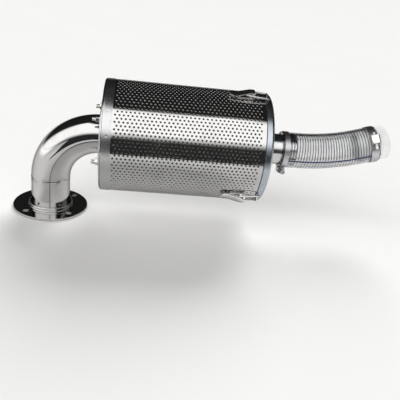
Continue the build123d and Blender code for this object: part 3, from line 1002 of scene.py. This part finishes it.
@dataclass
class Drum:
    """The drum: perforated sheet, plain end band, end cap and filter cloth.

    Attributes:
        finishes: the materials.
        radius: the sheet's outer radius.
        sheet: the sheet's thickness.
        hole_radius: radius of an air hole.
        pitch: distance between holes in a row along the drum.
        rows: how many rows of holes go round.
        columns: how many holes a row has.
        row_turn: turn of the first row.
        lip: how much wider a hole is at the sheet's face, where its edge is rolled in.
        hole_sides: how many sides a hole has.
        foot_in: how much the foot of a hole's wall faces the hole's middle.
        foot_out: how much it faces outwards.
        band: length of the plain band at the fixed end.
        first_hole: length from that end to the first hole.
        dimples: how many spot welds the band has.
        dimple_at: the spot welds' length from the end.
        dimple_radius: a spot weld's radius.
        dimple_depth: a spot weld's depth.
        crease_at: where the sheet bends over the end of the cap's skirt.
        crease_drop: how far it drops there.
        crease_width: how soft that bend is.
        dimple_wander: how far a spot weld strays, as a share of their spacing.
        dimple_stray: turn by which the stray changes from one spot weld to the next.
        dimple_rim: height of the ring round a spot weld, as a share of its depth.
        edge_run: length over which the band's end is drawn in.
        cap_bore: radius of the end cap's bore.
        cap_gap: gap between the cap's rim and the sheet.
        cap_round: rounding of the cap's rim.
        cap_return: how far the rim's edge turns in.
        cloth_radius: mean outer radius of the filter cloth.
        cloth_wave: height of each of the cloth's slow waves.
    """

    finishes: Finishes
    radius: float = 90.0 * MM
    sheet: float = 1.0 * MM
    hole_radius: float = 1.6 * MM
    pitch: float = 6.42 * MM
    rows: int = 102
    columns: int = 35
    row_turn: float = math.radians(3.0)
    lip: float = 0.10 * MM
    hole_sides: int = 12
    foot_in: float = 0.97
    foot_out: float = 0.24
    band: float = 14.2 * MM
    first_hole: float = 18.25 * MM
    dimples: int = 30
    dimple_at: float = 7.5 * MM
    dimple_radius: float = 1.5 * MM
    dimple_depth: float = 0.12 * MM
    crease_at: float = 12.4 * MM
    crease_drop: float = 0.25 * MM
    crease_width: float = 0.5 * MM
    dimple_wander: float = 0.09
    dimple_stray: float = 2.3
    dimple_rim: float = 0.3
    edge_run: float = 2.0 * MM
    cap_bore: float = 30.3 * MM
    cap_gap: float = 0.4 * MM
    cap_round: float = 2.0 * MM
    cap_return: float = 2.0 * MM
    cloth_radius: float = 87.1 * MM
    cloth_wave: float = 0.12 * MM
    shell: Extent = field(init=False)
    place: Place = field(init=False)

    def __post_init__(self) -> None:
        """Reads the drum's place from the frame."""
        self.shell = Extent.of("drum_shell")
        self.place = drum_place(float(self.shell.low[0]), float(self.shell.centre[2]))

    def rolled(self, length: Array, arc: Array, depth: Array | float) -> Array:
        """Points of the flat sheet rolled to the drum: the turn is arc / radius."""
        turn = arc / self.radius
        reach = self.radius - depth
        return self.place.points(np.stack([reach * np.cos(turn), reach * np.sin(turn), length], -1))

    def facing(self, arc: Array) -> Array:
        """Outward directions of the rolled sheet at an arc."""
        turn = arc / self.radius
        return self.place.directions(np.stack([np.cos(turn), np.sin(turn), 0 * turn], -1))

    def perforated(self) -> Skin:
        """The sheet with its holes, as six-sided cells with one hole each.

        Holes stand at (column + half of every second row) * pitch along and row * step round. Twelve
        quads join each hole's rim to its cell's edge, and twelve more go down the hole's wall, which
        narrows by the lip. The wall's normals lean from the face's own at the rim to the hole's middle.

        Returns:
            The outside of the sheet and the walls of its holes.
        """
        step = FULL_TURN * self.radius / self.rows
        row, column = np.meshgrid(np.arange(self.rows), np.arange(self.columns), indexing="ij")
        along = (self.first_hole + (column + 0.5 * (row % 2)) * self.pitch).reshape(-1, 1)
        round_ = (row * step + self.radius * self.row_turn).reshape(-1, 1)
        sides, count = np.arange(self.hole_sides), self.hole_sides
        turn = sides * (FULL_TURN / count)
        corner = np.where(sides % 2 == 1, self.pitch / math.sqrt(3), self.pitch / 2)
        stretch = step / (self.pitch * math.sqrt(3) / 2)
        edge_along = along + corner * np.cos(turn)
        edge_round = round_ + corner * np.sin(turn) * stretch
        length = float(self.shell.size[0])
        last = self.first_hole + (self.columns - 0.5) * self.pitch
        slack = self.pitch / 100
        edge_along = np.where(edge_along < self.first_hole + slack, self.band, edge_along)
        edge_along = np.where(edge_along > last - slack, length, edge_along)
        rim, foot = self.hole_radius + self.lip, self.hole_radius
        rim_along, rim_round = along + rim * np.cos(turn), round_ + rim * np.sin(turn)
        rings = [
            self.rolled(edge_along, edge_round, 0.0),
            self.rolled(rim_along, rim_round, 0.0),
            self.rolled(rim_along, rim_round, 0.0),
            self.rolled(along + foot * np.cos(turn), round_ + foot * np.sin(turn), self.sheet),
        ]
        out = self.facing(rim_round)
        inner = self.rolled(along, round_, 0.0) - rings[2]
        inner = inner / np.linalg.norm(inner, axis=-1, keepdims=True)
        points = np.stack(rings, 1)
        normals = np.stack([self.facing(edge_round), out, out, self.foot_in * inner + self.foot_out * out], 1)
        ahead = (sides + 1) % count
        one = [
            np.stack([a * count + sides, a * count + ahead, b * count + ahead, b * count + sides], -1)
            for a, b in ((0, 1), (2, 3))
        ]
        starts = np.arange(len(points)) * len(rings) * count
        quads = (np.concatenate(one)[None] + starts[:, None, None]).reshape(-1, 4)
        marks = np.stack(np.broadcast_arrays(points[..., 0], points[..., 2]), -1).reshape(-1, 2)
        return Skin(points.reshape(-1, 3), normals.reshape(-1, 3), quads, marks).facing_out()

    def plain_band(self) -> Skin:
        """The band at the fixed end: radius less a dimple at each spot weld and a step at the crease.

        Returns:
            The band's outside.
        """
        length = np.linspace(0, self.band, 49)[:, None]
        arc = np.linspace(0, FULL_TURN * self.radius, self.dimples * 32 + 1)[None]
        spacing = FULL_TURN * self.radius / self.dimples
        shift = self.dimple_wander * spacing * np.sin(np.floor(arc / spacing) * self.dimple_stray)
        beside = (arc % spacing) - spacing / 2 + shift
        away = np.hypot(beside, length - self.dimple_at)
        ring = self.dimple_rim * hump(away - 2 * self.dimple_radius, self.dimple_radius / 2)
        pressed = self.dimple_depth * (hump(away, self.dimple_radius) - ring)
        fall = 1 / (1 + np.exp(-(length - self.crease_at) / self.crease_width))
        lift = self.crease_drop * (1 - fall) * np.clip(length / self.edge_run, 0, 1)
        wall = self.rolled(length + 0 * arc, arc + 0 * length, pressed - lift)
        out = self.facing(arc + 0 * length)
        return Skin.grid(wall, grid_normals(wall, out), False)

    def end_cap(self) -> Skin:
        """The end cap: flat face, rolled rim and the bore that the elbow opens into."""
        cap = Extent.of("end_cap")
        edge = float(self.shell.low[0] - cap.low[0]) - self.cap_gap
        turned = Profile.rounded(
            [
                (self.sheet, self.cap_bore),
                (0, self.cap_bore),
                (0, self.radius),
                (edge, self.radius),
                (edge, self.radius - self.cap_return),
            ],
            [0, self.cap_round, self.cap_round / 4],
        )
        return turned.turned(drum_place(float(cap.low[0]), float(self.shell.centre[2])), 256)

    def cloth(self) -> Skin:
        """The filter cloth, a cylinder whose radius is a little uneven: sums of slow waves."""
        sleeve = Extent.of("filter_sleeve")
        length = np.linspace(sleeve.low[0], sleeve.high[0], 90)[:, None]
        turn = np.linspace(0, FULL_TURN, 241)[None]
        uneven = self.cloth_wave * (np.sin(9 * turn + 40 * length) + np.sin(23 * turn - 75 * length))
        reach = self.cloth_radius + uneven
        inward = length - self.place.origin[0]
        local = np.stack(np.broadcast_arrays(reach * np.cos(turn), reach * np.sin(turn), inward), -1)
        wall = self.place.points(local)
        out = self.place.directions(local * [1, 1, 0])
        return Skin.grid(wall, grid_normals(wall, out), False)

    def build(self) -> None:
        """Builds and dresses the drum."""
        looks = self.finishes
        put("perforated_sheet", self.perforated(), looks.mirror, Slot.POLISHED, "drum_shell")
        put("end_band", self.plain_band(), looks.banded, Slot.POLISHED, "drum_shell")
        put("drum_cap", self.end_cap(), looks.mirror, Slot.POLISHED, "end_cap")
        cloth = put("cloth_sleeve", self.cloth(), looks.cloth, Slot.CLOTH, "filter_sleeve")
        flat = (FULL_TURN * self.cloth_radius, float(Extent.of("filter_sleeve").size[0]))


@dataclass
class Lid:
    """The lid: pan, seal and the steel stub.

    Attributes:
        finishes: the materials.
        radius: the pan's outer radius.
        sheet: the pan's thickness.
        corner: rounding of the pan's outer corner.
        stub_radius: the stub's outer radius.
        stub_wall: the stub's wall.
        seal_inset: how far the seal lies inside the pan's rim.
        stub_bead: radius of the weld bead round the stub.
        stub_ripples: how many swells that bead has.
    """

    finishes: Finishes
    radius: float = 90.6 * MM
    sheet: float = 1.0 * MM
    corner: float = 4.5 * MM
    stub_radius: float = 25.5 * MM
    stub_wall: float = 1.5 * MM
    seal_inset: float = 0.9 * MM
    stub_bead: float = 1.3 * MM
    stub_ripples: int = 76
    axis_z: float = field(init=False)
    seal: Extent = field(init=False)
    face: float = field(init=False)
    stub_end: float = field(init=False)

    def __post_init__(self) -> None:
        """Reads the lid's places from the frame."""
        self.seal = Extent.of("lid_gasket")
        self.axis_z = float(self.seal.centre[2])
        self.face = float(Extent.of("lid").high[0])
        self.stub_end = float(Extent.of("lid_stub").high[0])

    def pan(self) -> Skin:
        """The pan: rim, rounded corner and flat face, with its inner side."""
        start = float(self.seal.high[0])
        deep, inner = self.face - start, self.radius - self.sheet
        turned = Profile.rounded(
            [
                (deep - self.sheet, self.stub_radius),
                (deep - self.sheet, inner),
                (0, inner),
                (0, self.radius),
                (deep, self.radius),
                (deep, self.stub_radius),
            ],
            [self.corner - self.sheet, 0.2 * MM, FINE_ROUND, self.corner],
            8,
        )
        return turned.turned(drum_place(start, self.axis_z), 256)

    def gasket(self) -> Skin:
        """The seal's ring, a little inside the rims that it parts."""
        thick, outer = float(self.seal.size[0]), self.radius - self.seal_inset
        edges = [(0, outer - MM), (0, outer), (thick, outer), (thick, outer - MM)]
        ring = Profile.rounded(edges, [FINE_ROUND, FINE_ROUND])
        return ring.turned(drum_place(float(self.seal.low[0]), self.axis_z), 192)

    def stub(self) -> Skin:
        """The stub's tube from the lid's face to its rounded end."""
        bore, end = self.stub_radius - self.stub_wall, self.stub_end - self.face
        tube = Profile.rounded(
            [(0, self.stub_radius), (end, self.stub_radius), (end, bore), (-2 * MM, bore)],
            [0.6 * MM, 0.4 * MM],
        )
        return tube.turned(drum_place(self.face, self.axis_z), 128)

    def build(self) -> None:
        """Builds and dresses the lid."""
        looks = self.finishes
        put("lid_pan", self.pan(), looks.satin, Slot.SATIN, "lid")
        put("lid_seal", self.gasket(), looks.rubber, Slot.RUBBER, "lid_gasket")
        put("stub_tube", self.stub(), looks.stub, Slot.SATIN, "lid_stub")
        joint = drum_place(self.face, self.axis_z)
        bead = weld_bead(joint, self.stub_radius, self.stub_bead, self.stub_ripples)
        put("stub_weld", bead, looks.stub, Slot.SATIN)


@dataclass
class Hose:
    """The clear hose with its steel spiral, marking line and plug.

    Attributes:
        finishes: the materials.
        stub_end: where the stub ends inside the hose.
        axis_z: height of the drum's axis.
        radius: the hose's outer radius.
        bore: the hose's inner radius.
        after_stub: straight length beyond the stub.
        bend_length: length of the bend.
        bend_turn: angle of the bend.
        on_plug: straight length on the plug.
        spiral_pitch: pitch of the steel spiral.
        spiral_wire: radius of its wire.
        line_turn: the marking line's turn from the front.
        line_width: the marking line's width.
        head_radius: radius of the plug's head.
        head: length of the plug's head.
        swell: how far the wall swells over each turn of the spiral.
        wire_depth: depth of the spiral's middle in the wall.
        line_rise: how far the marking line's middle stands out.
        line_gap: how far its edges do.
        plug_gap: gap between the plug's spigot and the hose.
        plug_wall: the plug's wall.
        stub_clamp_at: where the stub's clamp starts.
        stub_band: width of that clamp's band.
        plug_clamp_back: how far the plug's clamp starts before the hose's end.
        plug_band: width of that clamp's band.
    """

    finishes: Finishes
    stub_end: float
    axis_z: float
    radius: float = 30.0 * MM
    bore: float = 25.6 * MM
    after_stub: float = 4.0 * MM
    bend_length: float = 104.0 * MM
    bend_turn: float = math.radians(16.5)
    on_plug: float = 34.0 * MM
    spiral_pitch: float = 4.6 * MM
    spiral_wire: float = 0.60 * MM
    line_turn: float = math.radians(-19.0)
    line_width: float = 2.8 * MM
    head_radius: float = 28.5 * MM
    head: float = 18.0 * MM
    swell: float = 0.12 * MM
    wire_depth: float = 1.1 * MM
    line_rise: float = 0.10 * MM
    line_gap: float = 0.01 * MM
    plug_gap: float = 0.1 * MM
    plug_wall: float = 3.0 * MM
    stub_clamp_at: float = 2.0 * MM
    stub_band: float = 9.0 * MM
    plug_clamp_back: float = 14.7 * MM
    plug_band: float = 12.7 * MM
    start: float = field(init=False)
    length: float = field(init=False)

    def __post_init__(self) -> None:
        """Reads the hose's start from the frame."""
        self.start = float(Extent.of("dust_hose").low[0])
        self.length = self.stub_end + self.after_stub - self.start + self.bend_length + self.on_plug

    def middle(self, run: Array) -> tuple[Array, Array, Array]:
        """The hose's middle line: a straight run, an arc that rises, and a straight run.

        On the arc the line turns by run over radius: x grows by r sin(a) and z by r (1 - cos(a)).

        Args:
            run: lengths along the hose from its start.

        Returns:
            Points, the directions along the line and the upward directions across it.
        """
        straight = self.stub_end + self.after_stub - self.start
        bend_radius = self.bend_length / self.bend_turn
        angle = np.clip((run - straight) / bend_radius, 0, self.bend_turn)
        past = np.clip(run - straight - self.bend_length, 0, None)
        x = self.start + np.minimum(run, straight) + bend_radius * np.sin(angle) + past * np.cos(angle)
        z = self.axis_z + bend_radius * (1 - np.cos(angle)) + past * np.sin(angle)
        flat = np.zeros_like(run)
        along = np.stack([np.cos(angle), flat, np.sin(angle)], -1)
        up = np.stack([-np.sin(angle), flat, np.cos(angle)], -1)
        return np.stack([x, flat, z], -1), along, up

    def end_place(self, run: float) -> Place:
        """The place on the middle line at a length, turned upwards from the front."""
        point, along, up = self.middle(np.array([run]))
        return Place(point[0], FRONT, up[0], along[0])

    def wall(self) -> Skin:
        """The hose's wall: the outside's radius rises and falls by the swell once in a turn of the spiral.

        Returns:
            Outside, inside and the two end rings as one closed surface.
        """
        run = np.linspace(0, self.length, int(self.length / self.spiral_pitch * 9))
        line, along, up = self.middle(run)
        turn = np.linspace(0, FULL_TURN, 97)
        out = around(up, turn)
        wave = np.cos(FULL_TURN * run[:, None] / self.spiral_pitch - turn[None])
        ends = np.clip(np.minimum(run, self.length - run) / (2 * self.spiral_pitch), 0, 1)[:, None]
        outside = line[:, None] + out * (self.radius - self.swell + self.swell * wave * ends)[..., None]
        inside = line[:, None] + out * self.bore
        skins = [Skin.grid(outside, grid_normals(outside, out), False), Skin.grid(inside, -out, False)]
        for end, side in ((0, -1.0), (-1, 1.0)):
            ring = np.stack([outside[end], inside[end]])
            skins.append(Skin.grid(ring, np.broadcast_to(side * along[end], ring.shape), False))
        return Skin.joined(skins)

    def spiral(self) -> Skin:
        """The wire in the wall: middle line + radius (cos a front + sin a up), a being run over pitch."""
        reach, pitch = self.radius - self.wire_depth, self.spiral_pitch
        run = np.linspace(pitch, self.length - pitch, int(self.length / pitch * 44))
        line, along, up = self.middle(run)
        angle = FULL_TURN * run / pitch
        out = FRONT * np.cos(angle)[:, None] + up * np.sin(angle)[:, None]
        size = np.full(len(run), self.spiral_wire)
        return sheathed(line + out * reach, out, along, size, 6, True)

    def marking(self) -> Skin:
        """The coloured line along the hose's outside, a thin crowned strip."""
        run = np.linspace(0, self.length, 220)
        line, along, up = self.middle(run)
        share = np.linspace(-1, 1, 9)
        turn = self.line_turn + share * self.line_width / 2 / self.radius
        out = around(up, turn)
        proud = self.radius + self.line_rise * (1 - share**2) + self.line_gap
        return Skin.grid(line[:, None] + out * proud[None, :, None], out, False)

    def plug(self) -> Skin:
        """The plug: a spigot in the hose and a rounded head beyond it."""
        spigot, wall = self.bore - self.plug_gap, self.plug_wall
        turned = Profile.rounded(
            [
                (self.head - wall, 0),
                (self.head - wall, spigot - wall),
                (-self.on_plug, spigot - wall),
                (-self.on_plug, spigot),
                (0, spigot),
                (0, self.head_radius),
                (self.head, self.head_radius),
                (self.head, 0),
            ],
            [MM, MM, MM, 0, 0.6 * MM, 4.0 * MM],
            8,
        )
        return turned.turned(self.end_place(self.length), 128)

    def build(self) -> None:
        """Builds and dresses the hose and its plug."""
        looks = self.finishes
        put("hose_wall", self.wall(), looks.clear, Slot.HOSE, "dust_hose").visible_shadow = False
        put("hose_spiral", self.spiral(), looks.wire, Slot.HOSE)
        put("hose_line", self.marking(), looks.ink, Slot.HOSE)
        put("end_plug", self.plug(), looks.plastic, Slot.PLASTIC, "hose_plug")


@dataclass
class HoseClamp:
    """A worm-drive clamp on the hose.

    Attributes:
        finishes: the materials.
        name: the start of its nodes' names.
        place: the band's place on the hose.
        width: the band's width.
        inner: the band's inner radius.
        thick: the band's thickness.
    """

    finishes: Finishes
    name: str
    place: Place
    width: float
    inner: float = 30.1 * MM
    thick: float = 0.8 * MM

    def band(self) -> Skin:
        """The band: a flat ring with rolled edges."""
        outer, edge = self.inner + self.thick, FINE_ROUND
        ring = Profile.rounded(
            [(0, self.inner), (0, outer), (self.width, outer), (self.width, self.inner), (0, self.inner)],
            [edge, edge, 0.1 * MM],
        )
        return ring.turned(self.place, 160, (70.0, 4.0))

    def build(self) -> None:
        """Builds and dresses the clamp."""
        looks = self.finishes
        put(self.name + "_ring", self.band(), looks.plated, Slot.PLATED, self.name + "_band")
        dress(self.name + "_housing", looks.latch, 0.4 * MM)
        dress(self.name + "_screw", looks.plated, 0.3 * MM)


@dataclass
class Latch:
    """A toggle latch, whose CAD pieces are kept and dressed.

    Attributes:
        finishes: the materials.
        number: the latch's number.
    """

    finishes: Finishes
    number: int

    def build(self) -> None:
        """Dresses the latch's five pieces."""
        for part, edge in LATCH_EDGES.items():
            dress(f"latch_{part}_{self.number}", self.finishes.latch, edge)


@dataclass
class Studio:
    """Floor, lights, dark card and camera.

    Attributes:
        view_turn: the camera's turn to the right of straight on.
        view_dip: how far it looks down.
        view_roll: its roll about the line of sight.
        view_from: where it stands.
        lens: focal length in millimetres on a 36 mm frame.
        floor_colour: colour of the floor.
        floor_half: half the floor's side.
        window: brightness of the wide window in front, where 1 is as bright as white paper.
        horizon: brightness of the pale wall low down all round.
        ceiling: brightness of the dark ceiling and the dark room behind.
        sun: brightness that the high soft sun gives a level floor.
        sun_from: the direction that it comes from.
        sun_spread: its angle across.
        card_span: the dark card's reach along the drum.
        card_line: the card's line across, as places and heights.
        card_colour: the card's colour.
        pane_right: angles between which the window's upright right edge fades.
        pane_left: angles between which its left edge fades.
        pane_lean: how far the left edge leans with the height.
        pane_head: heights between which its head fades, as sines of the angle.
        sill: heights between which its sill fades.
        sill_left: angles between which the sill drops on the left.
        sill_drop: how far it drops there.
        wall_top: heights between which the pale wall ends.
    """

    view_turn: float = math.radians(7.945)
    view_dip: float = math.radians(24.941)
    view_roll: float = math.radians(7.464)
    view_from: tuple[float, float, float] = (0.1379, -0.8398, 0.4233)
    lens: float = 48.0
    floor_colour: tuple[float, float, float] = (0.93, 0.925, 0.915)
    floor_half: float = 12.0
    window: float = 1.70
    horizon: float = 0.75
    ceiling: float = 0.02
    sun: float = 0.52
    sun_from: tuple[float, float, float] = (0.35, 0.80, 0.60)
    sun_spread: float = math.radians(35.0)
    card_span: tuple[float, float] = (-0.30, 1.60)
    card_line: tuple[tuple[float, float], ...] = ((-0.46, MM), (-0.70, MM), (-0.72, 0.29))
    card_colour: tuple[float, float, float] = (0.03, 0.03, 0.032)
    pane_right: tuple[float, float] = (-0.8, -0.5)
    pane_left: tuple[float, float] = (1.85, 2.2)
    pane_lean: float = 0.7
    pane_head: tuple[float, float] = (0.93, 0.968)
    sill: tuple[float, float] = (0.17, 0.48)
    sill_left: tuple[float, float] = (0.4, 1.2)
    sill_drop: float = 0.25
    wall_top: tuple[float, float] = (0.11, 0.17)

    def camera(self) -> None:
        """Sets the camera where the photograph was taken."""
        data = bpy.data.cameras.new("camera")
        data.lens, data.sensor_width = self.lens, 36.0
        data.clip_start, data.clip_end = 0.02, 60.0
        camera = bpy.data.objects.new("camera", data)
        turn = Matrix.Rotation(-self.view_turn, 4, "Z")
        dip = Matrix.Rotation(math.pi / 2 - self.view_dip, 4, "X")
        roll = Matrix.Rotation(self.view_roll, 4, "Z")
        camera.matrix_world = Matrix.Translation(self.view_from) @ turn @ dip @ roll
        bpy.context.scene.collection.objects.link(camera)
        bpy.context.scene.camera = camera

    def prop(self, name: str, points: Array, normal: Array, colour: tuple, rough: float) -> bpy.types.Object:
        """A flat thing of the studio that isn't part of the object.

        Args:
            name: its name.
            points: a grid of its points.
            normal: the side that it faces.
            colour: its colour, which a slow noise varies by a few percent.
            rough: its roughness.

        Returns:
            The thing.
        """
        skin = Skin.grid(points, np.broadcast_to(normal, points.shape), False)
        thing = bpy.data.objects.new(name, skin.mesh(name))
        bpy.context.scene.collection.objects.link(thing)
        material, graph = new_material(name)
        tone = graph.noise(graph.add("TexCoord").outputs["Object"], 3.0, 2.0)
        shade = graph.blend(tone, (*colour, 1.0), (*(c * 0.97 for c in colour), 1.0))
        inputs = {"Base Color": shade, "Roughness": rough, "Specular IOR Level": 0.1}
        thing.data.materials.append(shaded(material, graph, inputs))
        return thing

    def floor(self) -> None:
        """Lays the pale floor, a flat grid just under the flange."""
        side = np.linspace(-self.floor_half, self.floor_half, 13)
        x, y = np.meshgrid(side, side, indexing="ij")
        flat = np.stack([x, y, 0 * x - 0.2 * MM], -1)
        self.prop("floor", flat, UP, self.floor_colour, 0.8)

    def dark_card(self) -> None:
        """Stands a dark card in front, below the camera's view, for the polished metal to mirror.

        Across, it lies on the floor for a quarter of a metre and then stands up.
        """
        x = np.linspace(*self.card_span, 5)[:, None]
        bend = np.array(self.card_line)
        card = np.stack(np.broadcast_arrays(x, bend[None, :, 0], bend[None, :, 1]), -1)
        thing = self.prop("dark_card", card, np.array([0, 1.0, 1.0]), self.card_colour, 0.9)
        thing.visible_camera = thing.visible_diffuse = False
        thing.visible_transmission = thing.visible_shadow = False

    def lights(self) -> None:
        """Sets a soft sun from behind and a surround with one wide window in front.

        The surround's brightness depends on the direction alone. A pale wall goes all round to about 8
        degrees high. Over it the window stands in front and to the left, up to about 70 degrees. Its
        left edge leans, and its sill, 10 to 29 degrees high, drops to the left. The rest is dark.
        """
        data = bpy.data.lights.new("soft_sun", "SUN")
        sun_from = Vector(self.sun_from).normalized()
        data.angle, data.energy = self.sun_spread, self.sun * math.pi / sun_from.z
        sun = bpy.data.objects.new("soft_sun", data)
        sun.rotation_euler = (-sun_from).to_track_quat("-Z", "Y").to_euler()
        sun.visible_glossy = sun.visible_transmission = False
        bpy.context.scene.collection.objects.link(sun)
        world = bpy.data.worlds.new("surround")
        bpy.context.scene.world = world
        world.use_nodes = True
        graph = Graph(world.node_tree)
        way = graph.add("SeparateXYZ", {0: graph.add("TexCoord").outputs["Generated"]}).outputs
        behind = graph.math("MULTIPLY", way["Y"], -1.0)
        left = graph.math("ARCTAN2", graph.math("MULTIPLY", way["X"], -1.0), behind)
        leaning = graph.math("ADD", left, graph.math("MULTIPLY", way["Z"], self.pane_lean))
        right_edge = graph.step(left, *self.pane_right)
        front = graph.math("MULTIPLY", right_edge, graph.step(leaning, *self.pane_left, 1.0, 0.0))
        sill = graph.math("ADD", way["Z"], graph.step(left, *self.sill_left, 0.0, self.sill_drop))
        head = graph.step(way["Z"], *self.pane_head, 1.0, 0.0)
        pane = graph.math("MULTIPLY", graph.step(sill, *self.sill), head)
        glow = graph.math("MULTIPLY", graph.math("MULTIPLY", front, pane), self.window - self.ceiling)
        low = graph.step(way["Z"], *self.wall_top, self.horizon, self.ceiling)
        bright = {"Color": (1.0, 1.0, 1.0, 1.0), "Strength": graph.math("ADD", glow, low)}
        shade = graph.add("Background", bright)
        graph.add("OutputWorld", {"Surface": shade.outputs["Background"]})

    def build(self) -> None:
        """Sets the whole studio."""
        self.camera()
        self.floor()
        self.dark_card()
        self.lights()
        bpy.context.scene.view_settings.view_transform = "Standard"


def main() -> None:
    """Builds every sub-assembly in order."""
    logging.basicConfig(level=logging.INFO, format="%(message)s")
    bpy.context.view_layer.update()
    seam_z = float(Extent.of("inlet_pipe").high[2])
    lid_face = float(Extent.of("lid").high[0])
    finishes = Finishes(seam_z, lid_face)
    Inlet(finishes).build()
    Drum(finishes).build()
    lid = Lid(finishes)
    lid.build()
    hose = Hose(finishes, lid.stub_end, lid.axis_z)
    hose.build()
    HoseClamp(finishes, "stub_clamp", hose.end_place(hose.stub_clamp_at), hose.stub_band).build()
    plug_end = hose.end_place(hose.length - hose.plug_clamp_back)
    HoseClamp(finishes, "plug_clamp", plug_end, hose.plug_band).build()
    for number in (1, 2, 3):
        Latch(finishes, number).build()
    Studio().build()


if __name__ == "__main__":
    main()
